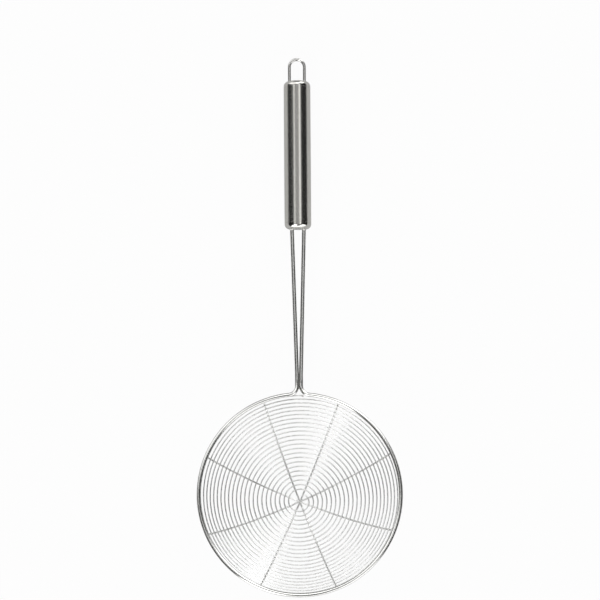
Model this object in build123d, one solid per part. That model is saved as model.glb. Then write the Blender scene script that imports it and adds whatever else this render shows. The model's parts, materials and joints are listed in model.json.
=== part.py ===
from build123d import *
import os
from math import acos, asin, atan, atan2, ceil, cos, degrees, hypot, pi, radians, sin, sqrt, tan

# A spider skimmer of stainless steel wire, lying on its bowl with the opening up.
# Millimetres, +Z up, +Y from the bowl to the hanging loop, +X to the right.
# The origin is on the table, under the middle of the skimmer.

# Rim and shank: one bent wire
rim_diameter = 201.0            # outside of the rim
frame_wire_diameter = 4.0
flare_radius = 8.8              # middle line of the bend from each leg into the rim
leg_gap = 0.1                   # between the legs where they lie side by side
fold_radius = 40.0              # bend that lifts the handle out of the rim's plane
fold_run = 2.0                  # straight between the flare and the fold
splay_radius = 60.0             # bend where the legs start to part
handle_rise_degrees = 15.0      # between the rim's plane and the handle
leg_spacing = 12.0              # middle to middle at the front cap
shank_length = 149.4            # from the fold's corner to the front cap

# Bowl: a spiral on a dome
bowl_depth = 48.4               # from the last turn's plane down to the bottom of the dome
spiral_wire_diameter = 1.2
spiral_inset_share = 0.25       # of the two wires' difference, from the rim's middle line inward
spiral_start = 8.4              # along the dome, from its bottom to the first turn
spiral_turns = 22.9
spiral_start_bearing = 38.0     # degrees clockwise from the handle, seen from above
stations_per_turn = 4           # each quarter turn is one pair of tangent arcs

# Ribs: four wires under the bowl that cross at its bottom
rib_wire_diameter = 1.6
rib_bearings = {"rib_a": -21.0, "rib_b": 23.4, "rib_c": 66.3, "rib_d": 112.0}
rib_levels = {"rib_a": 1, "rib_b": 2, "rib_c": -1, "rib_d": 0}    # steps down at the crossing
joggle_run = 4.7                # along the rib, for each level that it steps

# Handle: a tube with two drawn caps
handle_diameter = 26.6
handle_length = 148.0           # over both caps
handle_wall = 0.8
shoulder_radius = 5.0           # round edge of a cap's closed end
cap_skirt = 1.0                 # straight part of a cap outside the tube
cap_spigot = 6.0                # part of a cap inside the tube
seam_bevel = 0.15               # on the edges of the tube and the cap where they meet
anchor_depth = 24.0             # from a cap's end face to its anchor disc
anchor_thickness = 2.5
wire_overhang = 1.0             # of a wire past its anchor disc

# Hanging loop
loop_wire_diameter = 3.0
loop_spacing = 15.0             # middle to middle of its legs
loop_height = 23.7              # outside, above the rear cap

# Clearances
weld_clearance = 0.05           # between wires that are welded where they cross
hole_clearance = 0.1            # between a wire and the hole it goes through
spigot_clearance = 0.1          # between the tube and what fits inside it

frame_wire_radius = frame_wire_diameter / 2
spiral_wire_radius = spiral_wire_diameter / 2
rib_wire_radius = rib_wire_diameter / 2
loop_wire_radius = loop_wire_diameter / 2
handle_radius = handle_diameter / 2
tube_bore_radius = handle_radius - handle_wall
rise = radians(handle_rise_degrees)

# The dome is the sphere that the spiral's middle line lies on
rim_radius = rim_diameter / 2 - frame_wire_radius
spiral_inset = spiral_inset_share * (frame_wire_diameter - spiral_wire_diameter)
last_turn_radius = rim_radius - spiral_inset
dome_radius = (last_turn_radius**2 + bowl_depth**2) / (2 * bowl_depth)
rim_to_spiral = frame_wire_radius + spiral_wire_radius + weld_clearance
rim_above_last_turn = sqrt(rim_to_spiral**2 - spiral_inset**2)
dome_centre_height = dome_radius - bowl_depth - rim_above_last_turn    # above the rim's plane
rib_dome_radius = dome_radius + spiral_wire_radius + weld_clearance + rib_wire_radius

# The shank's bends, in the rim's plane and along the handle
leg_half_gap = frame_wire_radius + leg_gap / 2
flare_start = sqrt((rim_radius + flare_radius) ** 2 - (leg_half_gap + flare_radius) ** 2)
flare_bearing = atan2(leg_half_gap + flare_radius, flare_start)
fold_tangent = fold_radius * tan(rise / 2)
corner_to_rim_centre = flare_start + fold_run + fold_tangent

# The handle's frame has the fold's corner as its origin and the handle's axis as +Y
front_face = shank_length
rear_face = shank_length + handle_length
rim_centre = Vector(0, -corner_to_rim_centre * cos(rise), corner_to_rim_centre * sin(rise))
rim_plane = Plane(origin=rim_centre, x_dir=(1, 0, 0), z_dir=(0, sin(rise), cos(rise)))


def splay_angle():
    """Angle of each leg to the handle's axis, between the splay bend and the front cap."""
    angle = 0.0
    for _ in range(20):
        straight = shank_length - fold_tangent - splay_radius * tan(angle / 2)
        angle = atan((leg_spacing / 2 - leg_half_gap) / straight)
    return angle


def dome_height_on_table(tilt):
    """Height of the dome's centre when the ribs nearest the handle rest on the table."""
    nearest = min(abs(bearing) for bearing in rib_bearings.values())
    lean = asin(sin(tilt) * sin(radians(nearest)))
    return rib_dome_radius * cos(lean) + rib_wire_radius


def resting_slope():
    """Slope of the handle when the ribs and the rear cap's shoulder both touch the table."""
    dome_centre = rim_plane.from_local_coords((0, 0, dome_centre_height))
    shoulder_y = rear_face - shoulder_radius
    shoulder_z = shoulder_radius - handle_radius
    angle = 0.0
    for _ in range(30):
        lift = (dome_centre.Z - shoulder_z) * cos(angle) + shoulder_radius
        angle = asin((dome_height_on_table(rise + angle) - lift) / (shoulder_y - dome_centre.Y))
    return angle


def resting_location(slope):
    """Location that lays the skimmer on the table with its middle over the origin."""
    table = (shoulder_radius - handle_radius) * cos(slope) - shoulder_radius
    table -= (rear_face - shoulder_radius) * sin(slope)
    far_edge = rim_centre.Y * cos(slope) + rim_centre.Z * sin(slope)
    far_edge -= rim_radius * cos(rise + slope) + frame_wire_radius
    loop_top = (rear_face + loop_height - loop_wire_radius) * cos(slope) + loop_wire_radius
    return Location((0, -(far_edge + loop_top) / 2, -table), (-degrees(slope), 0, 0))


splay = splay_angle()
resting = resting_location(resting_slope())


# Wires
def swept_wire(edges, wire_radius):
    """Round wire along tangent lines and arcs."""
    path = Wire(edges)
    section = Plane(origin=edges[0] @ 0, z_dir=edges[0] % 0) * Circle(wire_radius)
    return sweep(section, path=path)


def biarc(start, start_direction, end, end_direction):
    """Two tangent arcs from one point and direction to another."""
    chord = end - start
    along = chord.dot(start_direction + end_direction)
    spread = 2 * (1 - start_direction.dot(end_direction))
    reach = (sqrt(along**2 + spread * chord.dot(chord)) - along) / spread
    start_handle = start + start_direction * reach
    end_handle = end - end_direction * reach
    middle = (start_handle + end_handle) / 2
    first = Edge.make_tangent_arc(start, start_direction, middle)
    second = Edge.make_tangent_arc(middle, end_handle - start_handle, end)
    return [first, second]


# Frame wire
splay_tangent = splay_radius * tan(splay / 2)
splay_corner = fold_tangent + splay_tangent


def leg_point(side, along):
    """Point of a splayed leg's middle line, at a distance along the handle's axis."""
    return Vector(side * (leg_half_gap + (along - splay_corner) * tan(splay)), along, 0)


def frame_stations(side):
    """Ends of the lines and arcs of half the frame wire, from inside the handle to the rim's side."""
    wire_end = front_face + anchor_depth + anchor_thickness + wire_overhang
    on_rim = (side * rim_radius * sin(flare_bearing), rim_radius * cos(flare_bearing), 0)
    return [
        leg_point(side, wire_end),
        leg_point(side, splay_corner + splay_tangent * cos(splay)),
        Vector(side * leg_half_gap, fold_tangent, 0),
        rim_plane.from_local_coords((side * leg_half_gap, flare_start + fold_run, 0)),
        rim_plane.from_local_coords((side * leg_half_gap, flare_start, 0)),
        rim_plane.from_local_coords(on_rim),
        rim_plane.from_local_coords((side * rim_radius, 0, 0)),
    ]


def make_frame_wire():
    """Both legs and the rim, as one wire."""
    rim_far = rim_plane.from_local_coords((0, -rim_radius, 0))
    stations = frame_stations(1) + [rim_far] + frame_stations(-1)[::-1]
    half_kinds = ["line", "arc", "arc", "line", "arc", "arc", "arc"]
    edges = []
    for here, there, kind in zip(stations, stations[1:], half_kinds + half_kinds[::-1]):
        if kind == "line":
            edges.append(Edge.make_line(here, there))
        else:
            edges.append(Edge.make_tangent_arc(here, edges[-1] % 1, there))
    return swept_wire(edges, frame_wire_radius)


# Spiral
def spiral_bearing(turn):
    return radians(spiral_start_bearing) + 2 * pi * turn


def spiral_dome_angle(turn):
    """Angle on the dome from its bottom, which grows evenly with the turns."""
    first = spiral_start / dome_radius
    last = asin(last_turn_radius / dome_radius)
    return first + (last - first) * turn / spiral_turns


def spiral_point(turn):
    """Point of the spiral's middle line, in the rim's plane."""
    bearing = spiral_bearing(turn)
    out = dome_radius * sin(spiral_dome_angle(turn))
    up = dome_centre_height - dome_radius * cos(spiral_dome_angle(turn))
    return Vector(out * sin(bearing), out * cos(bearing), up)


def spiral_direction(turn):
    """Direction of the spiral, from the rates at which its bearing and dome angle grow."""
    bearing = spiral_bearing(turn)
    dome_angle = spiral_dome_angle(turn)
    angle_rate = spiral_dome_angle(1) - spiral_dome_angle(0)
    round_rate = 2 * pi * sin(dome_angle)
    x_rate = angle_rate * cos(dome_angle) * sin(bearing) + round_rate * cos(bearing)
    y_rate = angle_rate * cos(dome_angle) * cos(bearing) - round_rate * sin(bearing)
    return Vector(x_rate, y_rate, angle_rate * sin(dome_angle)).normalized()


def make_spiral_wire():
    """One unbroken wire, from the bottom of the bowl to under the rim."""
    count = ceil(spiral_turns * stations_per_turn)
    turns = [spiral_turns * step / count for step in range(count + 1)]
    edges = []
    for here, there in zip(turns, turns[1:]):
        start = spiral_point(here)
        end = spiral_point(there)
        edges += biarc(start, spiral_direction(here), end, spiral_direction(there))
    return rim_plane.location * swept_wire(edges, spiral_wire_radius)


def least_turn_gap(samples_per_turn=72):
    """Least gap of the spiral to itself, measured on points of neighbouring turns."""
    count = int(spiral_turns * samples_per_turn)
    points = [spiral_point(step / samples_per_turn) for step in range(count + 1)]
    distances = []
    for index, point in enumerate(points):
        nearby = points[index + samples_per_turn // 2 : index + 2 * samples_per_turn]
        distances += [(point - other).length for other in nearby]
    return min(distances) - spiral_wire_diameter


# Ribs
def rib_end_angle():
    """Angle on the dome where a rib's end comes up against the rim wire."""
    inner = rib_dome_radius - rib_wire_radius
    reach = frame_wire_radius + weld_clearance
    distance = hypot(rim_radius, dome_centre_height)
    cosine = (distance**2 + inner**2 - reach**2) / (2 * distance * inner)
    return atan2(rim_radius, dome_centre_height) - acos(cosine)


def crossing_flat():
    """Half of a rib's stretch at its own level, which clears the rib nearest to it in bearing."""
    bearings = sorted(rib_bearings.values())
    angles = [there - here for here, there in zip(bearings, bearings[1:] + [bearings[0] + 180])]
    return (rib_wire_diameter + weld_clearance) / sin(radians(min(angles)))


def rib_point(bearing, dome_angle, radius):
    """Point of a rib's middle line; the dome angle is negative on the far side of the bowl."""
    out = radius * sin(dome_angle)
    return Vector(out * sin(bearing), out * cos(bearing), dome_centre_height - radius * cos(dome_angle))


def rib_direction(bearing, dome_angle):
    out = cos(dome_angle)
    return Vector(out * sin(bearing), out * cos(bearing), sin(dome_angle))


def make_rib(bearing_degrees, level):
    """One rib on the dome, joggled to its own level where the ribs cross."""
    bearing = radians(bearing_degrees)
    crossing_radius = rib_dome_radius + level * (rib_wire_diameter + weld_clearance)
    end_angle = rib_end_angle()
    flat_angle = crossing_flat() / rib_dome_radius
    joggle_angle = flat_angle + joggle_run * abs(level) / rib_dome_radius
    angles = [-end_angle, -joggle_angle, -flat_angle, flat_angle, joggle_angle, end_angle]
    radii = [rib_dome_radius] * 2 + [crossing_radius] * 2 + [rib_dome_radius] * 2
    if level == 0:
        angles = [-end_angle, end_angle]
        radii = [rib_dome_radius] * 2
    points = [rib_point(bearing, angle, radius) for angle, radius in zip(angles, radii)]
    directions = [rib_direction(bearing, angle) for angle in angles]
    edges = []
    for index in range(len(points) - 1):
        edges += biarc(points[index], directions[index], points[index + 1], directions[index + 1])
    return rim_plane.location * swept_wire(edges, rib_wire_radius)


# Handle
def along_handle(y):
    """Plane across the handle's axis, facing the hanging loop."""
    return Plane(origin=(0, y, 0), x_dir=(1, 0, 0), z_dir=(0, 1, 0))


def rod(start, direction, radius, length):
    """Cylinder from a point along a direction."""
    return extrude(Plane(origin=start, z_dir=direction) * Circle(radius), amount=length)


def leg_holes(y, thickness):
    """Cutters for the two legs through a wall that starts at a distance along the handle."""
    cutters = []
    for side in (-1, 1):
        start = leg_point(side, y - thickness)
        direction = leg_point(side, y) - start
        cutters.append(rod(start, direction, frame_wire_radius + hole_clearance, 3 * thickness))
    return cutters


def loop_holes(y, thickness):
    """Cutters for the loop's legs through a wall that starts at a distance along the handle."""
    cutters = []
    for side in (-1, 1):
        start = Vector(side * loop_spacing / 2, y - thickness, 0)
        cutters.append(rod(start, Vector(0, 1, 0), loop_wire_radius + hole_clearance, 3 * thickness))
    return cutters


def drawn_cap():
    """Cap with its closed end at the origin, its spigot pointing along +Y."""
    spigot_radius = tube_bore_radius - spigot_clearance
    inner_radius = spigot_radius - handle_wall
    inner_shoulder = max(shoulder_radius - handle_wall, handle_wall)
    skirt_end = shoulder_radius + cap_skirt
    spigot_end = skirt_end + cap_spigot
    with BuildSketch() as section:
        with BuildLine():
            Line((0, 0), (handle_radius - shoulder_radius, 0))
            JernArc((handle_radius - shoulder_radius, 0), (1, 0), shoulder_radius, 90)
            Polyline(
                (handle_radius, shoulder_radius),
                (handle_radius, skirt_end - seam_bevel),
                (handle_radius - seam_bevel, skirt_end),
                (spigot_radius, skirt_end),
                (spigot_radius, spigot_end),
                (inner_radius, spigot_end),
                (inner_radius, handle_wall + inner_shoulder),
            )
            JernArc((inner_radius, handle_wall + inner_shoulder), (0, -1), inner_shoulder, -90)
            Polyline((inner_radius - inner_shoulder, handle_wall), (0, handle_wall), (0, 0))
        make_face()
    return revolve(section.sketch, axis=Axis.Y)


def make_front_cap():
    cap = Pos(0, front_face, 0) * drawn_cap()
    return cap - leg_holes(front_face, handle_wall)


def make_rear_cap():
    cap = Pos(0, rear_face, 0) * Rot(0, 0, 180) * drawn_cap()
    return cap - loop_holes(rear_face - handle_wall, handle_wall)


def make_handle_tube():
    covered = shoulder_radius + cap_skirt
    ring = Circle(handle_radius) - Circle(tube_bore_radius)
    tube = extrude(along_handle(front_face + covered) * ring, amount=handle_length - 2 * covered)
    rims = tube.edges().filter_by(GeomType.CIRCLE)
    outer_rims = [rim for rim in rims if rim.radius > tube_bore_radius + handle_wall / 2]
    return chamfer(outer_rims, seam_bevel)


def anchor_disc(y):
    """Disc inside the tube that the wire ends are fixed to."""
    return extrude(along_handle(y) * Circle(tube_bore_radius - spigot_clearance), amount=anchor_thickness)


def make_front_anchor():
    y = front_face + anchor_depth
    return anchor_disc(y) - leg_holes(y, anchor_thickness)


def make_rear_anchor():
    y = rear_face - anchor_depth - anchor_thickness
    return anchor_disc(y) - loop_holes(y, anchor_thickness)


def make_hanging_loop():
    """U of wire whose two legs go through the rear cap to the rear anchor."""
    half_spacing = loop_spacing / 2
    wire_end = rear_face - anchor_depth - anchor_thickness - wire_overhang
    arch_start = rear_face + loop_height - loop_wire_radius - half_spacing
    left = Edge.make_line((-half_spacing, wire_end, 0), (-half_spacing, arch_start, 0))
    arch = Edge.make_tangent_arc((-half_spacing, arch_start, 0), (0, 1, 0), (half_spacing, arch_start, 0))
    right = Edge.make_line((half_spacing, arch_start, 0), (half_spacing, wire_end, 0))
    return swept_wire([left, arch, right], loop_wire_radius)


def make_parts():
    """Every node of the skimmer, in the handle's frame."""
    parts = {
        "frame_wire": make_frame_wire(),
        "spiral_wire": make_spiral_wire(),
        "handle_tube": make_handle_tube(),
        "front_cap": make_front_cap(),
        "rear_cap": make_rear_cap(),
        "front_anchor": make_front_anchor(),
        "rear_anchor": make_rear_anchor(),
        "hanging_loop": make_hanging_loop(),
    }
    for name, bearing in rib_bearings.items():
        parts[name] = make_rib(bearing, rib_levels[name])
    return parts


os.makedirs("parts", exist_ok=True)
for name, part in make_parts().items():
    placed = resting * part
    placed.label = name
    export_step(placed, f"parts/{name}.step")

print("dome radius", round(dome_radius, 2), "handle slope", round(degrees(resting_slope()), 2), "degrees")
print("least gap between the spiral's turns", round(least_turn_gap(), 2))
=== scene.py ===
# %% [markdown]
# # A wire skimmer, dressed around its CAD frame
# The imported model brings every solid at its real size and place. This lesson redraws the wires so
# that their polish can follow them, adds the welds that hold them, gives every surface its finish,
# and sets the studio that the steel mirrors. Each step says what the thing is on the bench first.

# %% Load the frame
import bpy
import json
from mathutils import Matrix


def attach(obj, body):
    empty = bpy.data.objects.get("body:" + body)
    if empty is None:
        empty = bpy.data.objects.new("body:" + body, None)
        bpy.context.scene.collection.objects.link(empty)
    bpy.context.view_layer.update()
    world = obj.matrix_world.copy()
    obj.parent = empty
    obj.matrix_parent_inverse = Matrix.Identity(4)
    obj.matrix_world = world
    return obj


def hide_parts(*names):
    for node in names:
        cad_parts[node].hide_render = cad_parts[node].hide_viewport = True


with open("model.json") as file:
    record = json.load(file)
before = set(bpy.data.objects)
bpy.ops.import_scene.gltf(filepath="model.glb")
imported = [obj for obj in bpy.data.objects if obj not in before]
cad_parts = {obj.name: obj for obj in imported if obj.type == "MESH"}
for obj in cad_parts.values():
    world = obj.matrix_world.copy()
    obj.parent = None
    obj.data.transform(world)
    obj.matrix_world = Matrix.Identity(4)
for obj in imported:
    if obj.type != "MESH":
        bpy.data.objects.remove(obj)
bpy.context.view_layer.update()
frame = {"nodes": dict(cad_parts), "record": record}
print("solids:", sorted(frame["nodes"]))

# %% Modules and units
import json
import math
from mathutils import Matrix, Quaternion, Vector
from mathutils.bvhtree import BVHTree
import bpy

MM = 0.001
scene = bpy.context.scene

# %% [markdown]
# ## The camera
# The skimmer is looked at from straight above. How far up the eye was can't be read for certain: the
# spiral's turns look nearly the same from one metre as from several. So a metre and a half is a
# choice, a usual distance for a usual lens, and the lens and the place were fitted to it. A real
# distance matters, because the handle lies lower than the rim and so looks smaller beside it.

# %% Camera
camera_place = Vector((1.535, 20.9, 1570)) * MM
camera_turn = -0.0071            # radians: the skimmer lies a little turned in the picture
lens_mm = 93.3
sensor_mm = 36
camera_data = bpy.data.cameras.new("camera")
camera_data.lens = lens_mm
camera_data.sensor_width = sensor_mm
camera = bpy.data.objects.new("camera", camera_data)
camera.location = camera_place
camera.rotation_euler = (0, 0, camera_turn)
scene.collection.objects.link(camera)
scene.camera = camera
print("the view is", round(camera_place.z / lens_mm * sensor_mm / MM), "mm wide at the table")

# %% [markdown]
# ## Where the handle and the rim lie
# A part is easiest to draw in its own frame: the handle along one axis, the rim flat. The record's grip
# mount gives the handle's middle and axis, so those aren't typed again. The rim's frame is
# then folded up from the handle by the bend in the shank.

# %% Sizes of the bent frame wire
grip = next(mount for mount in frame["record"]["mounts"] if mount["name"] == "grip")
handle_axis = Vector(grip["axis"]).normalized()
handle_length = 148 * MM
shank_length = 149.4 * MM        # from the fold's corner to the front cap
rim_diameter = 201 * MM          # outside
frame_wire = 4 * MM
flare_radius = 8.8 * MM          # where a leg opens into the rim
leg_gap = 0.1 * MM
fold_radius = 40 * MM
fold_run = 2 * MM
handle_rise = math.radians(15)   # between the rim's plane and the handle
splay_radius = 60 * MM
leg_spacing = 12 * MM            # at the front cap
print("handle slope:", round(math.degrees(math.asin(-handle_axis.z)), 2), "degrees")

# %% Frames of the handle and the rim
rim_radius = (rim_diameter - frame_wire) / 2
leg_side = (frame_wire + leg_gap) / 2
flare_start = math.sqrt((rim_radius + flare_radius) ** 2 - (leg_side + flare_radius) ** 2)
flare_bearing = math.atan2(leg_side + flare_radius, flare_start)
fold_tangent = fold_radius * math.tan(handle_rise / 2)
rim_reach = flare_start + fold_run + fold_tangent     # from the rim's middle to the fold's corner

slope = math.asin(handle_axis.z)
fold_corner = Vector(grip["pos_m"]) - handle_axis * (shank_length + handle_length / 2)
handle_frame = Matrix.Translation(fold_corner) @ Matrix.Rotation(slope, 4, "X")
rim_middle = Vector((0, -rim_reach * math.cos(handle_rise), rim_reach * math.sin(handle_rise)))
rim_frame = handle_frame @ Matrix.Translation(rim_middle) @ Matrix.Rotation(-handle_rise, 4, "X")
to_handle = handle_frame.inverted() @ rim_frame       # from the rim's frame to the handle's
print("rim's middle in mm:", [round(value / MM, 1) for value in rim_frame.translation])

# %% [markdown]
# ## Small tools for node trees
# A node tree is easier to read when each node is one short call. `place` adds a node and fills its
# inputs with plain values or with other nodes' outputs. `calc` and `vector_calc` do sums.

# %% Helpers that add nodes
def place(tree, kind, inputs=(), **settings):
    """Adds one node; inputs maps names or numbers of sockets to values or to other nodes' outputs."""
    node = tree.nodes.new(kind)
    for setting, value in settings.items():
        setattr(node, setting, value)
    for key, value in dict(inputs).items():
        if isinstance(value, bpy.types.NodeSocket):
            tree.links.new(value, node.inputs[key])
        else:
            node.inputs[key].default_value = value
    return node


def calc(tree, operation, *values):
    return place(tree, "ShaderNodeMath", enumerate(values), operation=operation).outputs[0]


def vector_calc(tree, operation, *values):
    node = place(tree, "ShaderNodeVectorMath", enumerate(values), operation=operation)
    return node.outputs["Value" if operation in ("DOT_PRODUCT", "LENGTH") else "Vector"]


def joined(tree, x, y, z):
    return place(tree, "ShaderNodeCombineXYZ", {0: x, 1: y, 2: z}).outputs[0]


print("place, calc, vector_calc and joined ready")


# %% Helpers that start trees
def new_group(kind, name, inputs, outputs):
    """An empty node group with named inputs and outputs; returns it and its input node's outputs."""
    tree = bpy.data.node_groups.new(name, kind)
    for label, (socket, value) in inputs.items():
        made = tree.interface.new_socket(label, in_out="INPUT", socket_type=socket)
        if value is not None:
            made.default_value = value
    for label, socket in outputs.items():
        tree.interface.new_socket(label, in_out="OUTPUT", socket_type=socket)
    return tree, tree.nodes.new("NodeGroupInput").outputs


FLOAT, WHOLE, VECTOR = "NodeSocketFloat", "NodeSocketInt", "NodeSocketVector"
SHAPE, FINISH = "NodeSocketGeometry", "NodeSocketMaterial"
print("node helpers ready")

# %% [markdown]
# ## Drawing a wire
# Wire is drawn through a die, so its fine lines run along it and turn with every bend. A swept circle
# has the shape, but a pattern in space would cut straight through the bends. So the tree also
# writes, on every point, where that point was while the wire was straight: across the wire in X and
# Y and along it in Z. The finish reads that attribute later. Sharp edges are kept at the cut ends.

# %% Nodes that sweep a wire and remember it straight
cut_edge_angle = math.radians(40)


def stored(tree, shape, name, kind, value):
    """The shape with a value written on each of its points."""
    inputs = {"Geometry": shape, "Name": name, "Value": value}
    return place(tree, "GeometryNodeStoreNamedAttribute", inputs, data_type=kind).outputs[0]


def recalled(tree, name, kind):
    node = place(tree, "GeometryNodeInputNamedAttribute", {"Name": name}, data_type=kind)
    return node.outputs["Attribute"]


def add_sweep(tree, path, group_in):
    """Adds the nodes from a path to a finished wire and links them to the tree's output."""
    run = place(tree, "GeometryNodeSplineParameter").outputs["Length"]
    marked_path = stored(tree, path, "run", "FLOAT", run)
    die = place(tree, "GeometryNodeCurvePrimitiveCircle",
                {"Resolution": group_in["Sides"], "Radius": group_in["Wire radius"]}).outputs[0]
    position = place(tree, "GeometryNodeInputPosition").outputs[0]
    marked_die = stored(tree, die, "across", "FLOAT_VECTOR", position)
    wire = place(tree, "GeometryNodeCurveToMesh",
                 {"Curve": marked_path, "Profile Curve": marked_die, "Fill Caps": True}).outputs[0]
    across = place(tree, "ShaderNodeSeparateXYZ", {0: recalled(tree, "across", "FLOAT_VECTOR")})
    straight = joined(tree, across.outputs[0], across.outputs[1], recalled(tree, "run", "FLOAT"))
    wire = stored(tree, wire, "straight", "FLOAT_VECTOR", straight)
    smooth = place(tree, "GeometryNodeSetShadeSmooth", {"Geometry": wire, "Shade Smooth": True})
    bend = place(tree, "GeometryNodeInputMeshEdgeAngle").outputs["Unsigned Angle"]
    sharp = calc(tree, "GREATER_THAN", bend, cut_edge_angle)
    cut = place(tree, "GeometryNodeSetShadeSmooth",
                {"Geometry": smooth.outputs[0], "Selection": sharp, "Shade Smooth": False}, domain="EDGE")
    finish(tree, cut.outputs[0], group_in["Material"])


def finish(tree, shape, material):
    """Ends a tree: real geometry, with its material."""
    real = place(tree, "GeometryNodeRealizeInstances", {"Geometry": shape}).outputs[0]
    dressed = place(tree, "GeometryNodeSetMaterial", {"Geometry": real, "Material": material})
    tree.links.new(dressed.outputs[0], place(tree, "NodeGroupOutput").inputs[0])


wire_inputs = {"Wire radius": (FLOAT, 1 * MM), "Sides": (WHOLE, 12), "Material": (FINISH, None)}
bent_wire_tree, group_in = new_group(
    "GeometryNodeTree", "wire along a bent path", {"Path": (SHAPE, None), **wire_inputs}, {"Wire": SHAPE})
bent_path = place(bent_wire_tree, "GeometryNodeMeshToCurve", {"Mesh": group_in["Path"]}).outputs[0]
add_sweep(bent_wire_tree, bent_path, group_in)
print(bent_wire_tree.name, "has", len(bent_wire_tree.nodes), "nodes")

# %% [markdown]
# ## From a node tree to a plain piece
# The tree runs as a modifier on a stand-in object. Its result is copied as a plain mesh, moved into
# place inside the mesh, and the stand-in goes. The piece's own object stays at the origin, unturned.
# A redrawn wire is then measured against the solid that it stands for.

# %% Bake a tree, and measure the result
def set_inputs(modifier, values):
    for item in modifier.node_group.interface.items_tree:
        if item.item_type == "SOCKET" and item.name in values:
            modifier[item.identifier] = values[item.name]


def bake(name, tree, values, frame_matrix, base=None):
    """Runs a tree with the values given and returns the plain mesh object that it makes."""
    stand_in = bpy.data.objects.new(name + "_nodes", base or bpy.data.meshes.new(name))
    scene.collection.objects.link(stand_in)
    modifier = stand_in.modifiers.new("tree", "NODES")
    modifier.node_group = tree
    set_inputs(modifier, values)
    graph = bpy.context.evaluated_depsgraph_get()
    mesh = bpy.data.meshes.new_from_object(
        stand_in.evaluated_get(graph), preserve_all_data_layers=True, depsgraph=graph)
    bpy.data.objects.remove(stand_in)
    mesh.name = name
    mesh.transform(frame_matrix)
    piece = bpy.data.objects.new(name, mesh)
    scene.collection.objects.link(piece)
    return piece


def furthest_from(piece, node):
    """The largest distance in mm from the piece's points to the surface of a solid."""
    solid = frame["nodes"][node].data
    tree = BVHTree.FromPolygons([v.co for v in solid.vertices], [p.vertices for p in solid.polygons])
    return max(tree.find_nearest(v.co)[3] for v in piece.data.vertices) / MM


def settle(piece, slot, *nodes):
    """Hides the solids that the piece stands for and lets it move with the skimmer; slot is not used."""
    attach(piece, "root")
    if nodes:
        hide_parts(*nodes)
    piece.data.calc_loop_triangles()
    print(piece.name, len(piece.data.loop_triangles), "triangles")


print("bake, furthest_from and settle ready")

# %% [markdown]
# ## Effects that several finishes share
# Three things change over a steel surface: the fine lines that drawing or brushing leaves, the soft
# patches that hands and washing leave, and tiny pits. Each is a node group that puts out a number
# between 0 and 1, built once. The materials decide how much of it goes to roughness, tone or height.

# %% Group: fine lines
lines_tree, group_in = new_group(
    "ShaderNodeTree", "fine lines",
    {"Place": (VECTOR, None), "Lines per metre": (VECTOR, None), "Detail": (FLOAT, 3.0)},
    {"Height": FLOAT, "Patches": FLOAT})
stretched = vector_calc(lines_tree, "MULTIPLY", group_in["Place"], group_in["Lines per metre"])
fine = place(lines_tree, "ShaderNodeTexNoise",
             {"Vector": stretched, "Scale": 1.0, "Detail": group_in["Detail"], "Roughness": 0.65})
coarse_share = 0.17              # how dense the coarse patches are beside the fine lines
coarse_place = vector_calc(lines_tree, "SCALE", stretched)
coarse_place.node.inputs["Scale"].default_value = coarse_share
coarse = place(lines_tree, "ShaderNodeTexNoise", {"Vector": coarse_place, "Scale": 1.0, "Detail": 2.0})
lines_out = place(lines_tree, "NodeGroupOutput")
lines_tree.links.new(fine.outputs[0], lines_out.inputs["Height"])
lines_tree.links.new(coarse.outputs[0], lines_out.inputs["Patches"])
print(lines_tree.name, "ready")

# %% Group: marks of use
marks_tree, group_in = new_group(
    "ShaderNodeTree", "marks of use",
    {"Place": (VECTOR, None), "Patch size": (FLOAT, 0.012), "Pit size": (FLOAT, 0.0004)},
    {"Smudge": FLOAT, "Pits": FLOAT})
patch_scale = calc(marks_tree, "DIVIDE", 1.0, group_in["Patch size"])
patches = place(marks_tree, "ShaderNodeTexNoise",
                {"Vector": group_in["Place"], "Scale": patch_scale, "Detail": 4.0, "Distortion": 0.6})
smudge = place(marks_tree, "ShaderNodeMapRange",
               {"Value": patches.outputs[0], "From Min": 0.45, "From Max": 0.7},
               interpolation_type="SMOOTHSTEP")
pit_scale = calc(marks_tree, "DIVIDE", 1.0, group_in["Pit size"])
specks = place(marks_tree, "ShaderNodeTexNoise",
               {"Vector": group_in["Place"], "Scale": pit_scale, "Detail": 1.0})
pits = place(marks_tree, "ShaderNodeMapRange",
             {"Value": specks.outputs[0], "From Min": 0.68, "From Max": 0.8},
             interpolation_type="SMOOTHSTEP")
marks_out = place(marks_tree, "NodeGroupOutput")
marks_tree.links.new(smudge.outputs[0], marks_out.inputs["Smudge"])
marks_tree.links.new(pits.outputs[0], marks_out.inputs["Pits"])
print(marks_tree.name, "ready")

# %% [markdown]
# ## Steel
# Every visible part is stainless steel, and only its working differs: the thin wires are drawn and
# electropolished, the thick wire is drawn and buffed, the handle is satin, ground along its length, and
# the caps are pressed and then polished round their edges. So one function makes them all. Metallic
# and the plain numbers sit on the shader itself, and only what changes over the surface is linked.

# %% One function for every steel
def mixed(tree, amount, low, high):
    """A number between low and high, by an amount from 0 to 1."""
    return place(tree, "ShaderNodeMapRange", {"Value": amount, "To Min": low, "To Max": high}).outputs[0]


smudge_share = 0.25              # how much a smudge dulls, beside the lines


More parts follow.
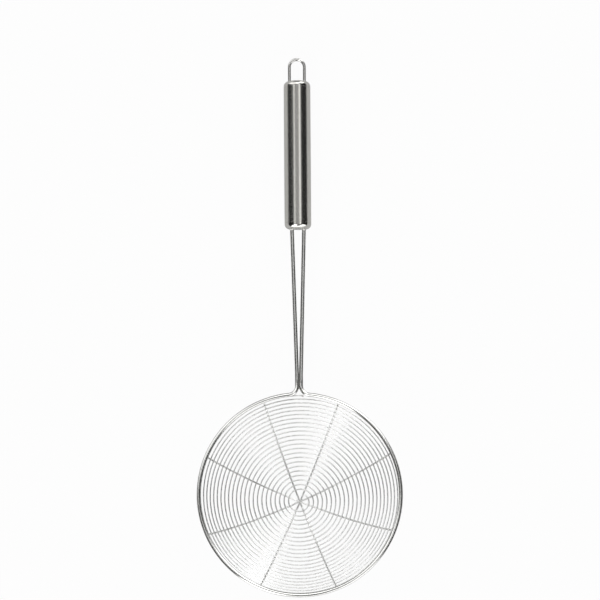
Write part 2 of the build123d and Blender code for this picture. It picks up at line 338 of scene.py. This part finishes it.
def steel(name, tone, shade, roughness, lines_per_metre, line_depth, where, patch_size=12 * MM):
    """Stainless steel; tone and shade are its light and dark colours, and where adds its place nodes."""
    material = bpy.data.materials.new(name)
    material.use_nodes = True
    tree = material.node_tree
    tree.nodes.clear()
    lines = place(tree, "ShaderNodeGroup", node_tree=lines_tree)
    tree.links.new(where(tree), lines.inputs["Place"])
    lines.inputs["Lines per metre"].default_value = lines_per_metre
    in_space = place(tree, "ShaderNodeTexCoord").outputs["Object"]
    marks = place(tree, "ShaderNodeGroup", node_tree=marks_tree)
    tree.links.new(in_space, marks.inputs["Place"])
    marks.inputs["Patch size"].default_value = patch_size
    height = calc(tree, "SUBTRACT", lines.outputs["Height"], marks.outputs["Pits"])
    bump = place(tree, "ShaderNodeBump", {"Height": height, "Strength": 1.0, "Distance": line_depth})
    colour = place(tree, "ShaderNodeMix", {"Factor": lines.outputs["Patches"]}, data_type="RGBA")
    colour.inputs["A"].default_value = (*shade, 1)
    colour.inputs["B"].default_value = (*tone, 1)
    worn = calc(tree, "MULTIPLY_ADD", marks.outputs["Smudge"], smudge_share, lines.outputs["Patches"])
    rough = mixed(tree, worn, roughness[0], roughness[1])
    shader = place(tree, "ShaderNodeBsdfPrincipled",
                   {"Base Color": colour.outputs["Result"], "Metallic": 1.0, "Roughness": rough,
                    "Normal": bump.outputs[0]})
    tree.links.new(shader.outputs[0], place(tree, "ShaderNodeOutputMaterial").inputs[0])
    return material


def along_wire(tree):
    """Where a point was on the straight wire."""
    return place(tree, "ShaderNodeAttribute", attribute_name="straight").outputs["Vector"]


print("steel ready")

# %% [markdown]
# ### Wire finishes
# On the wires the lines are long and thin: thousands across, a few dozen along. The thin wires
# come out of the polishing bath brighter than the thick one.

# %% Wire materials
wire_lines = (9000, 9000, 40)
bright_wire = steel(
    "bright_wire_finish", tone=(0.72, 0.72, 0.71), shade=(0.66, 0.66, 0.65), roughness=(0.22, 0.3),
    lines_per_metre=wire_lines, line_depth=0.0008 * MM, where=along_wire)
frame_steel = steel(
    "frame_steel_finish", tone=(0.68, 0.68, 0.66), shade=(0.6, 0.6, 0.59), roughness=(0.13, 0.19),
    lines_per_metre=wire_lines, line_depth=0.0012 * MM, where=along_wire)
loop_steel = steel(
    "loop_steel_finish", tone=(0.66, 0.65, 0.63), shade=(0.56, 0.56, 0.55), roughness=(0.16, 0.24),
    lines_per_metre=wire_lines, line_depth=0.001 * MM, where=along_wire)
print([material.name for material in (bright_wire, frame_steel, loop_steel)])

# %% [markdown]
# ### Handle and weld finishes
# The handle's lines run straight along it. It lies a little off level, so a Mapping node first
# turns the pattern into the handle's own frame. The caps' lines are shorter and shallower. Welds
# have set from the melt, so they are duller, and their grain is the same every way.

# %% Handle and weld materials
def along_handle(tree):
    """Place in the handle's own frame, from the object's coordinates."""
    in_space = place(tree, "ShaderNodeTexCoord").outputs["Object"]
    turned = place(tree, "ShaderNodeMapping", {"Vector": in_space}, vector_type="TEXTURE")
    turned.inputs["Location"].default_value = fold_corner
    turned.inputs["Rotation"].default_value = (slope, 0, 0)
    return turned.outputs[0]


handle_steel = steel(
    "handle_steel_finish", tone=(0.63, 0.62, 0.585), shade=(0.56, 0.55, 0.52), roughness=(0.2, 0.28),
    lines_per_metre=(7000, 45, 7000), line_depth=0.0012 * MM, where=along_handle, patch_size=22 * MM)
cap_steel = steel(
    "cap_steel_finish", tone=(0.64, 0.63, 0.6), shade=(0.57, 0.56, 0.53), roughness=(0.14, 0.22),
    lines_per_metre=(5000, 400, 5000), line_depth=0.0006 * MM, where=along_handle)
inner_steel = steel(
    "inner_steel_finish", tone=(0.5, 0.5, 0.5), shade=(0.4, 0.4, 0.4), roughness=(0.35, 0.5),
    lines_per_metre=(3000, 3000, 3000), line_depth=0.002 * MM, where=along_handle)
weld_steel = steel(
    "weld_steel_finish", tone=(0.56, 0.55, 0.53), shade=(0.42, 0.41, 0.39), roughness=(0.3, 0.44),
    lines_per_metre=(2500, 2500, 2500), line_depth=0.004 * MM, where=along_handle, patch_size=3 * MM)
print([material.name for material in (handle_steel, cap_steel, inner_steel, weld_steel)])

# %% Put the finishes on the solids that stay
finishes = {"handle_tube": handle_steel, "front_cap": cap_steel, "rear_cap": cap_steel,
            "front_anchor": inner_steel, "rear_anchor": inner_steel}
for node, material in finishes.items():
    for slot in frame["nodes"][node].material_slots:
        slot.material = material
    print(node, "has", material.name)

# %% [markdown]
# ## The bent frame wire
# One 4 mm wire is the rim and both legs. On the bench it is bent over formers: a tight flare from each
# leg into the rim, a wide fold that lifts the handle, and a slight splay towards the cap. Straight
# runs and tangent arcs are exactly what formers make, so the path is a chain of those.

# %% Paths of straight runs and tangent arcs
arc_step = math.radians(3)


def tangent_arc(start, direction, end):
    """Points of the arc that leaves start along direction and ends at end, and its last direction."""
    half_turn = direction.angle(end - start)
    axis = direction.cross(end - start).normalized()
    radius = (end - start).length / 2 / math.sin(half_turn)
    centre = start + axis.cross(direction) * radius
    steps = math.ceil(2 * half_turn / arc_step)
    turns = [Quaternion(axis, 2 * half_turn * step / steps) for step in range(1, steps + 1)]
    return [centre + turn @ (start - centre) for turn in turns], turns[-1] @ direction


def bent_path_points(stations, kinds):
    """Points through stations, each reached by a straight line or by an arc tangent to what is before."""
    points = [stations[0]]
    direction = None
    for station, kind in zip(stations[1:], kinds):
        if kind == "line":
            direction = (station - points[-1]).normalized()
            points.append(station)
        else:
            arc, direction = tangent_arc(points[-1], direction, station)
            points += arc
    return points


def path_mesh(points):
    """A chain of edges through the points, for a node tree to sweep along."""
    mesh = bpy.data.meshes.new("path")
    mesh.from_pydata(points, [(index, index + 1) for index in range(len(points) - 1)], [])
    return mesh


print("a quarter of the rim takes", math.ceil(math.pi / 2 / arc_step), "steps")

# %% Path of the frame wire, in the handle's frame
anchor_depth = 24 * MM           # from a cap's face to its anchor disc
wire_end_run = 3.5 * MM          # through the anchor disc and a little past it
closing_steps = 20               # more than the splay needs to settle


def splay_angle():
    """Angle of a leg to the handle's axis, found by closing in on it."""
    angle = 0.0
    for _ in range(closing_steps):
        straight = shank_length - fold_tangent - splay_radius * math.tan(angle / 2)
        angle = math.atan((leg_spacing / 2 - leg_side) / straight)
    return angle


splay = splay_angle()
splay_tangent = splay_radius * math.tan(splay / 2)
splay_corner = fold_tangent + splay_tangent


def leg_point(side, along):
    return Vector((side * (leg_side + (along - splay_corner) * math.tan(splay)), along, 0))


def half_frame(side):
    """Stations along one half of the wire, from its cut end to the side of the rim."""
    on_rim = (side * rim_radius * math.sin(flare_bearing), rim_radius * math.cos(flare_bearing), 0)
    in_rim = [(side * leg_side, flare_start + fold_run, 0), (side * leg_side, flare_start, 0),
              on_rim, (side * rim_radius, 0, 0)]
    return [
        leg_point(side, shank_length + anchor_depth + wire_end_run),
        leg_point(side, splay_corner + splay_tangent * math.cos(splay)),
        Vector((side * leg_side, fold_tangent, 0)),
    ] + [to_handle @ Vector(place_in_rim) for place_in_rim in in_rim]


half_kinds = ["line", "arc", "arc", "line", "arc", "arc", "arc"]
rim_far_point = to_handle @ Vector((0, -rim_radius, 0))
frame_points = bent_path_points(
    half_frame(1) + [rim_far_point] + half_frame(-1)[::-1], half_kinds + half_kinds[::-1])
print("frame path:", len(frame_points), "points, splay", round(math.degrees(splay), 2), "degrees")

# %% Draw the frame wire
bent_frame = bake("bent_frame", bent_wire_tree,
                  {"Wire radius": frame_wire / 2, "Sides": 28, "Material": frame_steel},
                  handle_frame, path_mesh(frame_points))
settle(bent_frame, "frame_steel", "frame_wire")
print("furthest from its solid:", round(furthest_from(bent_frame, "frame_wire"), 3), "mm")

# %% [markdown]
# ## The hanging loop
# A U of 3 mm wire whose legs go through the rear cap. It is the same chain of runs and one arc.

# %% Draw the hanging loop
loop_wire = 3 * MM
loop_spacing = 15 * MM           # of its legs, middle to middle
loop_height = 23.7 * MM          # outside, above the cap
loop_foot = shank_length + handle_length - anchor_depth - wire_end_run
arch_start = shank_length + handle_length + loop_height - (loop_wire + loop_spacing) / 2
loop_corners = [Vector((side * loop_spacing / 2, along, 0))
                for side, along in ((-1, loop_foot), (-1, arch_start), (1, arch_start), (1, loop_foot))]
loop_points = bent_path_points(loop_corners, ["line", "arc", "line"])
bent_loop = bake("bent_loop", bent_wire_tree,
                 {"Wire radius": loop_wire / 2, "Sides": 24, "Material": loop_steel},
                 handle_frame, path_mesh(loop_points))
settle(bent_loop, "loop_steel", "hanging_loop")
print("furthest from its solid:", round(furthest_from(bent_loop, "hanging_loop"), 3), "mm")

# %% [markdown]
# ## The wound spiral
# The bowl is one long wire wound on a dome. Its rule is short: the bearing grows evenly, and so does
# the distance along the dome. Geometry Nodes suit that well. A straight line is cut into as many points
# as there are steps, and each point is sent to its place on the dome by the sums below.

# %% Sizes of the dome
spiral_wire = 1.2 * MM
rib_wire = 1.6 * MM
weld_gap = 0.05 * MM
bowl_depth = 48.4 * MM
spiral_turns = 22.9
spiral_start = 8.4 * MM          # along the dome from its bottom
spiral_bearing = math.radians(38)
spiral_inset_share = 0.25
last_turn_radius = rim_radius - spiral_inset_share * (frame_wire - spiral_wire)
dome_radius = (last_turn_radius**2 + bowl_depth**2) / (2 * bowl_depth)
rim_to_spiral = (frame_wire + spiral_wire) / 2 + weld_gap
rim_above_last_turn = math.sqrt(rim_to_spiral**2 - (rim_radius - last_turn_radius) ** 2)
dome_height = dome_radius - bowl_depth - rim_above_last_turn
first_angle = spiral_start / dome_radius
last_angle = math.asin(last_turn_radius / dome_radius)
print("dome radius", round(dome_radius / MM, 2), "mm; turns", spiral_turns)

# %% Node tree of the spiral
def add_dome_place(tree, bearing, angle, radius, centre_height):
    """Nodes that turn a bearing and an angle from the dome's bottom into a place."""
    out = calc(tree, "MULTIPLY", radius, calc(tree, "SINE", angle))
    down = calc(tree, "MULTIPLY", radius, calc(tree, "COSINE", angle))
    x = calc(tree, "MULTIPLY", out, calc(tree, "SINE", bearing))
    y = calc(tree, "MULTIPLY", out, calc(tree, "COSINE", bearing))
    return joined(tree, x, y, calc(tree, "SUBTRACT", centre_height, down))


def add_points(tree, count):
    """A line cut into a number of points, and the share of it at each point."""
    line = place(tree, "GeometryNodeCurvePrimitiveLine").outputs[0]
    cut = place(tree, "GeometryNodeResampleCurve", {"Curve": line, "Count": count})
    return cut.outputs[0], place(tree, "GeometryNodeSplineParameter").outputs["Factor"]


dome_inputs = {"Dome radius": (FLOAT, dome_radius), "Dome height": (FLOAT, dome_height)}
spiral_inputs = {"First angle": (FLOAT, first_angle), "Last angle": (FLOAT, last_angle),
                 "Start bearing": (FLOAT, spiral_bearing), "Turns": (FLOAT, spiral_turns),
                 "Points per turn": (WHOLE, 96)}
spiral_tree, group_in = new_group(
    "GeometryNodeTree", "wire wound on a dome", {**dome_inputs, **spiral_inputs, **wire_inputs},
    {"Wire": SHAPE})
count = calc(spiral_tree, "MULTIPLY", group_in["Turns"], group_in["Points per turn"])
line, share = add_points(spiral_tree, count)
angle = mixed(spiral_tree, share, group_in["First angle"], group_in["Last angle"])
turns_so_far = calc(spiral_tree, "MULTIPLY", share, group_in["Turns"])
bearing = calc(spiral_tree, "MULTIPLY_ADD", turns_so_far, math.tau, group_in["Start bearing"])
on_dome = add_dome_place(spiral_tree, bearing, angle, group_in["Dome radius"], group_in["Dome height"])
wound = place(spiral_tree, "GeometryNodeSetPosition", {"Geometry": line, "Position": on_dome}).outputs[0]
add_sweep(spiral_tree, wound, group_in)
print(spiral_tree.name, "has", len(spiral_tree.nodes), "nodes")

# %% Wind the spiral
wound_spiral = bake("wound_spiral", spiral_tree,
                    {"Wire radius": spiral_wire / 2, "Sides": 12, "Material": bright_wire}, rim_frame)
settle(wound_spiral, "bowl_steel", "spiral_wire")
print("furthest from its solid:", round(furthest_from(wound_spiral, "spiral_wire"), 3), "mm")

# %% [markdown]
# ## The ribs
# Four straight-looking wires run under the bowl from rim to rim. All four can't pass through its
# bottom, so near the middle each one steps to a level of its own, one wire thickness apart. The same
# dome sum draws them: the bearing is fixed, and the radius eases from the level to the dome.

# %% Sizes of the ribs
rib_bearings = {"rib_a": -21, "rib_b": 23.4, "rib_c": 66.3, "rib_d": 112}   # degrees from the handle
rib_levels = {"rib_a": 1, "rib_b": 2, "rib_c": -1, "rib_d": 0}              # steps down
joggle_run = 4.7 * MM            # for each level
rib_dome_radius = dome_radius + (spiral_wire + rib_wire) / 2 + weld_gap
level_step = rib_wire + weld_gap
in_order = sorted(rib_bearings.values())
least_crossing = math.radians(min(after - before for before, after in zip(in_order, in_order[1:])))
flat_angle = level_step / math.sin(least_crossing) / rib_dome_radius


def rib_end_angle():
    """Angle on the dome where a rib's end comes up against the rim wire."""
    inner = rib_dome_radius - rib_wire / 2
    reach = frame_wire / 2 + weld_gap
    distance = math.hypot(rim_radius, dome_height)
    cosine = (distance**2 + inner**2 - reach**2) / (2 * distance * inner)
    return math.atan2(rim_radius, dome_height) - math.acos(cosine)


print("ribs end", round(math.degrees(rib_end_angle()), 1), "degrees up the dome")

# %% Node tree of a rib
rib_inputs = {"End angle": (FLOAT, rib_end_angle()), "Bearing": (FLOAT, 0.0), "Step down": (FLOAT, 0.0),
              "Flat angle": (FLOAT, flat_angle), "Joggle angle": (FLOAT, flat_angle), "Points": (WHOLE, 320)}
rib_tree, group_in = new_group(
    "GeometryNodeTree", "wire across a dome", {**dome_inputs, **rib_inputs, **wire_inputs},
    {"Wire": SHAPE})
line, share = add_points(rib_tree, group_in["Points"])
angle = calc(rib_tree, "MULTIPLY", group_in["End angle"], calc(rib_tree, "MULTIPLY_ADD", share, 2.0, -1.0))
step = place(rib_tree, "ShaderNodeMapRange",
             {"Value": calc(rib_tree, "ABSOLUTE", angle), "From Min": group_in["Flat angle"],
              "From Max": group_in["Joggle angle"], "To Min": group_in["Step down"], "To Max": 0.0},
             interpolation_type="SMOOTHSTEP").outputs[0]
radius = calc(rib_tree, "ADD", group_in["Dome radius"], step)
on_dome = add_dome_place(rib_tree, group_in["Bearing"], angle, radius, group_in["Dome height"])
across_bowl = place(rib_tree, "GeometryNodeSetPosition", {"Geometry": line, "Position": on_dome}).outputs[0]
add_sweep(rib_tree, across_bowl, group_in)
print(rib_tree.name, "has", len(rib_tree.nodes), "nodes")

# %% Draw the ribs
for name, bearing_degrees in rib_bearings.items():
    level = rib_levels[name]
    joggle_angle = flat_angle + max(abs(level), 1) * joggle_run / rib_dome_radius
    drawn = bake("drawn_" + name, rib_tree,
                 {"Dome radius": rib_dome_radius, "Bearing": math.radians(bearing_degrees),
                  "Step down": level * level_step, "Joggle angle": joggle_angle,
                  "Wire radius": rib_wire / 2, "Sides": 14, "Material": bright_wire}, rim_frame)
    settle(drawn, "bowl_steel", name)
    print("furthest from its solid:", round(furthest_from(drawn, name), 3), "mm")

# %% [markdown]
# ## Spot welds
# Wherever the spiral crosses a rib the two are squeezed between electrodes and melt together in a
# small flattened nugget. There are nearly two hundred, so a tree puts one flattened ball on each point
# it is given and turns it to face out of the dome. The script only works out where the points are.

# %% Node tree of flattened balls on points
weld_inputs = {"Points": (SHAPE, None), "Centre": (VECTOR, None), "Width": (FLOAT, 1 * MM),
               "Height": (FLOAT, 0.5 * MM), "Material": (FINISH, None)}
weld_tree, group_in = new_group(
    "GeometryNodeTree", "flattened balls on points", weld_inputs, {"Welds": SHAPE})
ball = place(weld_tree, "GeometryNodeMeshUVSphere", {"Segments": 12, "Rings": 8, "Radius": 0.5}).outputs[0]
position = place(weld_tree, "GeometryNodeInputPosition").outputs[0]
outwards = vector_calc(weld_tree, "SUBTRACT", position, group_in["Centre"])
facing = place(weld_tree, "FunctionNodeAlignRotationToVector", {"Vector": outwards}, axis="Z").outputs[0]
flattening = joined(weld_tree, group_in["Width"], group_in["Width"], group_in["Height"])
balls = place(weld_tree, "GeometryNodeInstanceOnPoints",
              {"Points": group_in["Points"], "Instance": ball, "Rotation": facing, "Scale": flattening})
smooth_balls = place(weld_tree, "GeometryNodeSetShadeSmooth",
                     {"Geometry": balls.outputs[0], "Shade Smooth": True})
finish(weld_tree, smooth_balls.outputs[0], group_in["Material"])
print(weld_tree.name, "has", len(weld_tree.nodes), "nodes")


# %% Where the welds are, in the rim's frame
def dome_place(bearing, angle, radius):
    """The same sum as in the tree: a place from a bearing and an angle from the dome's bottom."""
    out = radius * math.sin(angle)
    return Vector((out * math.sin(bearing), out * math.cos(bearing), dome_height - radius * math.cos(angle)))


def points_mesh(points):
    """Loose points, for a node tree to put welds on."""
    mesh = bpy.data.meshes.new("points")
    mesh.from_pydata(points, [], [])
    return mesh


half_ribs = []
for name, bearing_degrees in rib_bearings.items():
    joggle_end = flat_angle + abs(rib_levels[name]) * joggle_run / rib_dome_radius
    half_ribs += [(math.radians(bearing_degrees + half_turn), joggle_end) for half_turn in (0, 180)]

crossings = []
for bearing, joggle_end in half_ribs:
    turn = ((bearing - spiral_bearing) / math.tau) % 1
    while turn <= spiral_turns:
        angle = first_angle + (last_angle - first_angle) * turn / spiral_turns
        if angle > joggle_end:
            crossings.append(dome_place(bearing, angle, dome_radius + spiral_wire / 2))
        turn += 1

rim_joints = []
for bearing, _ in half_ribs:
    rib_tip = dome_place(bearing, rib_end_angle(), rib_dome_radius)
    rim_point = Vector((rim_radius * math.sin(bearing), rim_radius * math.cos(bearing), 0))
    rim_joints.append(rim_point + (rib_tip - rim_point).normalized() * frame_wire / 2)
spiral_end = dome_place(spiral_bearing + math.tau * spiral_turns, last_angle, dome_radius - spiral_wire / 2)
rim_joints.append(spiral_end)
hub_joints = [dome_place(0, 0, rib_dome_radius + (level + 0.5) * level_step) for level in (-1, 0, 1)]
print(len(crossings), "crossings,", len(rim_joints), "welds on the rim,", len(hub_joints), "at the hub")

# %% Put the welds in
dome_centre = (0, 0, dome_height)
crossing_weld = (1.2 * MM, 0.6 * MM)      # width and height
rim_weld = (2.4 * MM, 1.1 * MM)
hub_weld = (1.9 * MM, 0.7 * MM)
for name, points, (width, height), slot in (
        ("crossing_welds", crossings, crossing_weld, "bowl_steel"),
        ("rim_welds", rim_joints, rim_weld, "frame_steel"),
        ("hub_welds", hub_joints, hub_weld, "bowl_steel")):
    welds = bake(name, weld_tree, {"Centre": dome_centre, "Width": width, "Height": height,
                                   "Material": weld_steel}, rim_frame, points_mesh(points))
    settle(welds, slot)

# %% [markdown]
# ## Fillet welds and the bead between the legs
# Each leg is welded into the cap all round, and the weld draws up the wire in a small hollow curve. One
# turned profile makes it: a quarter circle, hollow outwards. The legs are also joined to each other for
# a short way by a bead from below, through the fold, where they lie side by side.

# %% Turned fillets
fillet_steps = 6
fillet_sides = 32
fillet_depth = 0.2 * MM          # how far it goes into the wire and the cap
leg_fillet_reach = 1.1 * MM
loop_fillet_reach = 0.8 * MM


def add_fillet(points, faces, foot, direction, wire_radius, reach):
    """Adds to points and faces a closed ring with a hollow outer side, on foot and along direction."""
    turns = [math.pi / 2 * step / fillet_steps for step in range(fillet_steps + 1)]
    profile = [(wire_radius + reach * (1 - math.sin(turn)), reach * (1 - math.cos(turn))) for turn in turns]
    profile += [(wire_radius - fillet_depth, reach), (wire_radius - fillet_depth, -fillet_depth),
                (wire_radius + reach, -fillet_depth)]
    to_place = Matrix.Translation(foot) @ direction.to_track_quat("Z", "Y").to_matrix().to_4x4()
    first = len(points)
    for side in range(fillet_sides):
        around = Matrix.Rotation(math.tau * side / fillet_sides, 4, "Z")
        points += [to_place @ around @ Vector((out, 0, along)) for out, along in profile]
    for side in range(fillet_sides):
        here = first + side * len(profile)
        there = first + (side + 1) % fillet_sides * len(profile)
        for index in range(len(profile)):
            following = (index + 1) % len(profile)
            faces.append((here + index, there + index, there + following, here + following))


def fillet_piece(name, slot, feet, direction_of, wire_radius, reach):
    """One piece with a fillet on each foot; direction_of says which way the wire leaves a foot."""
    points, faces = [], []
    for foot in feet:
        add_fillet(points, faces, foot, direction_of(foot), wire_radius, reach)
    mesh = bpy.data.meshes.new(name)
    mesh.from_pydata(points, [], faces)
    mesh.materials.append(weld_steel)
    mesh.shade_smooth()
    mesh.transform(handle_frame)
    piece = bpy.data.objects.new(name, mesh)
    scene.collection.objects.link(piece)
    settle(piece, slot)


def down_leg(foot):
    """The direction of the leg that stands on foot, away from the cap."""
    side = math.copysign(1, foot.x)
    return (leg_point(side, 0) - leg_point(side, shank_length)).normalized()


def up_loop(foot):
    return Vector((0, 1, 0))


leg_feet = [leg_point(side, shank_length) for side in (-1, 1)]
fillet_piece("leg_fillets", "frame_steel", leg_feet, down_leg, frame_wire / 2, leg_fillet_reach)
rear_face = shank_length + handle_length
loop_feet = [Vector((side * loop_spacing / 2, rear_face, 0)) for side in (-1, 1)]
fillet_piece("loop_fillets", "loop_steel", loop_feet, up_loop, loop_wire / 2, loop_fillet_reach)

# %% Bead between the legs
bead_radius = 0.8 * MM
bead_drop = 1.2 * MM
bead_start = 2.6 * MM            # into the opening between the legs, from where they part
bead_corners = [to_handle @ Vector((0, flare_start - bead_start, -bead_drop)),
                to_handle @ Vector((0, flare_start + fold_run, -bead_drop)),
                Vector((0, fold_tangent, -bead_drop))]
bead_points = bent_path_points(bead_corners, ["line", "arc"])
leg_bead = bake("leg_bead", bent_wire_tree, {"Wire radius": bead_radius, "Sides": 12, "Material": weld_steel},
                handle_frame, path_mesh(bead_points))
settle(leg_bead, "frame_steel")

# %% [markdown]
# ## The floor and the light
# The skimmer lies on pale paper. Seen by the camera, the floor is mostly its own white, so only a
# trace of the shadow is left, as on a page. The steel mirrors the paper as it is lit.

# %% Floor
floor_white = 0.6
floor_lift = 0.95                # share of plain white that the camera sees in the floor
floor_half_side = 4.0
floor_drop = 0.2 * MM
floor_mesh = bpy.data.meshes.new("floor")
floor_corners = [(x * floor_half_side, y * floor_half_side, -floor_drop)
                 for x, y in ((-1, -1), (1, -1), (1, 1), (-1, 1))]
floor_mesh.from_pydata(floor_corners, [], [(0, 1, 2, 3)])
floor = bpy.data.objects.new("floor", floor_mesh)
scene.collection.objects.link(floor)
paper = bpy.data.materials.new("paper")
paper.use_nodes = True
tree = paper.node_tree
tree.nodes.clear()
lit = place(tree, "ShaderNodeBsdfDiffuse", {"Color": (floor_white, floor_white, floor_white, 1)})
white = place(tree, "ShaderNodeEmission", {"Color": (1, 1, 1, 1), "Strength": 1.0})
seen = calc(tree, "MULTIPLY", place(tree, "ShaderNodeLightPath").outputs["Is Camera Ray"], floor_lift)
mix = place(tree, "ShaderNodeMixShader", {0: seen, 1: lit.outputs[0], 2: white.outputs[0]})
tree.links.new(mix.outputs[0], place(tree, "ShaderNodeOutputMaterial").inputs[0])
floor_mesh.materials.append(paper)
print("floor is", 2 * floor_half_side, "m wide")

# %% [markdown]
# Polished wire shows nothing but the room, so the room is the lighting. It is a dark studio with
# soft panels of light: two long strips either side of the camera, which draw the two bright lines down
# the handle, and others ahead and behind, which turn whole sectors of the spiral white. A wire shows
# a panel only where it lies square to the direction half way between the panel and the eye, so each
# panel lights two opposite sectors. Where the panels stand and how strong they are was found by
# trial, so they suit this object and this view. The world holds the panels as directions. Only the
# camera sees plain white there instead.

# %% Node group of one panel of light
panel_tree, group_in = new_group(
    "ShaderNodeTree", "panel of light",
    {"Direction": (VECTOR, None), "Towards": (VECTOR, None), "Right": (VECTOR, None), "Up": (VECTOR, None),
     "Half width": (FLOAT, 0.3), "Half height": (FLOAT, 0.3), "Soft edge": (FLOAT, 0.1)},
    {"Mask": FLOAT})
ahead = vector_calc(panel_tree, "DOT_PRODUCT", group_in["Direction"], group_in["Towards"])


def add_side_mask(tree, group_in, side, half):
    """1 inside the panel and 0 outside it, along one of its sides."""
    aside = vector_calc(tree, "DOT_PRODUCT", group_in["Direction"], group_in[side])
    angle = calc(tree, "ABSOLUTE", calc(tree, "ARCTAN2", aside, ahead))
    edge = calc(tree, "ADD", group_in[half], group_in["Soft edge"])
    return place(tree, "ShaderNodeMapRange",
                 {"Value": angle, "From Min": edge, "From Max": group_in[half], "To Min": 0.0, "To Max": 1.0},
                 interpolation_type="SMOOTHSTEP").outputs[0]


mask = calc(panel_tree, "MULTIPLY", add_side_mask(panel_tree, group_in, "Right", "Half width"),
            add_side_mask(panel_tree, group_in, "Up", "Half height"))
panel_tree.links.new(mask, place(panel_tree, "NodeGroupOutput").inputs["Mask"])
print(panel_tree.name, "ready")

# %% Where the panels stand
panels = [
    # bearing from the handle, elevation, turn, half width, half height and soft edge in degrees; strength
    (180, 90, 0, 24, 23, 10, 0.38),      # pale ceiling round the camera
    (72, 68, 18, 12, 3, 5, 1.5),         # strip right of the camera, along the handle
    (285, 62, -15, 10, 3, 4, 1.2),       # strip left of it
    (30, 14, 0, 9, 12, 7, 4.4),          # low, beyond the handle, to the right
    (10, 40, 0, 8, 14, 7, 2.6),          # box beyond the handle
    (-14, 40, 0, 7, 12, 7, 2.0),         # its fellow to the left
    (-44, 26, 0, 13, 18, 8, 1.7),        # wide and pale, further to the left
    (210, 32, 0, 10, 26, 6, 3.9),        # tall box on the bowl's side, to the left
    (176, 20, 0, 12, 9, 8, 2.6),         # small, on the bowl's side, for the front cap's shoulder
    (138, 26, 0, 15, 16, 8, 2.6),        # wide, on the bowl's side, to the right
]


def panel_directions(bearing, elevation, turn=0):
    """Which way a panel lies, and its own right and up, turned in its plane; all in degrees."""
    bearing, elevation, turn = (math.radians(angle) for angle in (bearing, elevation, turn))
    level = Vector((math.sin(bearing), math.cos(bearing), 0))
    right = Vector((math.cos(bearing), -math.sin(bearing), 0))
    towards = level * math.cos(elevation) + Vector((0, 0, math.sin(elevation)))
    up = right.cross(towards)
    return towards, right * math.cos(turn) + up * math.sin(turn), up * math.cos(turn) - right * math.sin(turn)


print(len(panels), "panels, the strongest", max(panel[-1] for panel in panels))

# %% The studio as a world
room_dark = 0.01
world = bpy.data.worlds.new("studio")
scene.world = world
world.use_nodes = True
tree = world.node_tree
tree.nodes.clear()
direction = place(tree, "ShaderNodeTexCoord").outputs["Generated"]
glow = room_dark
for bearing, elevation, turn, width, height, edge, strength in panels:
    towards, right, up = panel_directions(bearing, elevation, turn)
    panel = place(tree, "ShaderNodeGroup", node_tree=panel_tree)
    tree.links.new(direction, panel.inputs["Direction"])
    for name, value in (("Towards", towards), ("Right", right), ("Up", up),
                        ("Half width", math.radians(width)), ("Half height", math.radians(height)),
                        ("Soft edge", math.radians(edge))):
        panel.inputs[name].default_value = value
    glow = calc(tree, "MULTIPLY_ADD", panel.outputs[0], strength, glow)
by_camera = place(tree, "ShaderNodeLightPath").outputs["Is Camera Ray"]
seen = mixed(tree, by_camera, glow, 1.0)
background = place(tree, "ShaderNodeBackground", {"Color": seen, "Strength": 1.0})
tree.links.new(background.outputs[0], place(tree, "ShaderNodeOutputWorld").inputs[0])
print("studio with", len(panels), "panels")

# %% [markdown]
# The panels alone leave the paper a little grey. One weak, broad lamp evens it out and gives the
# skimmer its faint shadow. Polished steel doesn't mirror it.

# %% Lamp for the paper
lamp_data = bpy.data.lights.new("lamp", "SUN")
lamp_data.energy = 0.2
lamp_data.angle = math.radians(40)    # broad, so its shadow is soft
lamp = bpy.data.objects.new("lamp", lamp_data)
lamp_bearing, lamp_elevation = 25, 55
lamp_towards = panel_directions(lamp_bearing, lamp_elevation)[0]
lamp.rotation_euler = lamp_towards.to_track_quat("Z", "Y").to_euler()
lamp.visible_glossy = False
scene.collection.objects.link(lamp)
print("lamp from", [round(value, 2) for value in lamp_towards])

# %% Colours as written
scene.view_settings.view_transform = "Standard"
print("view transform:", scene.view_settings.view_transform)
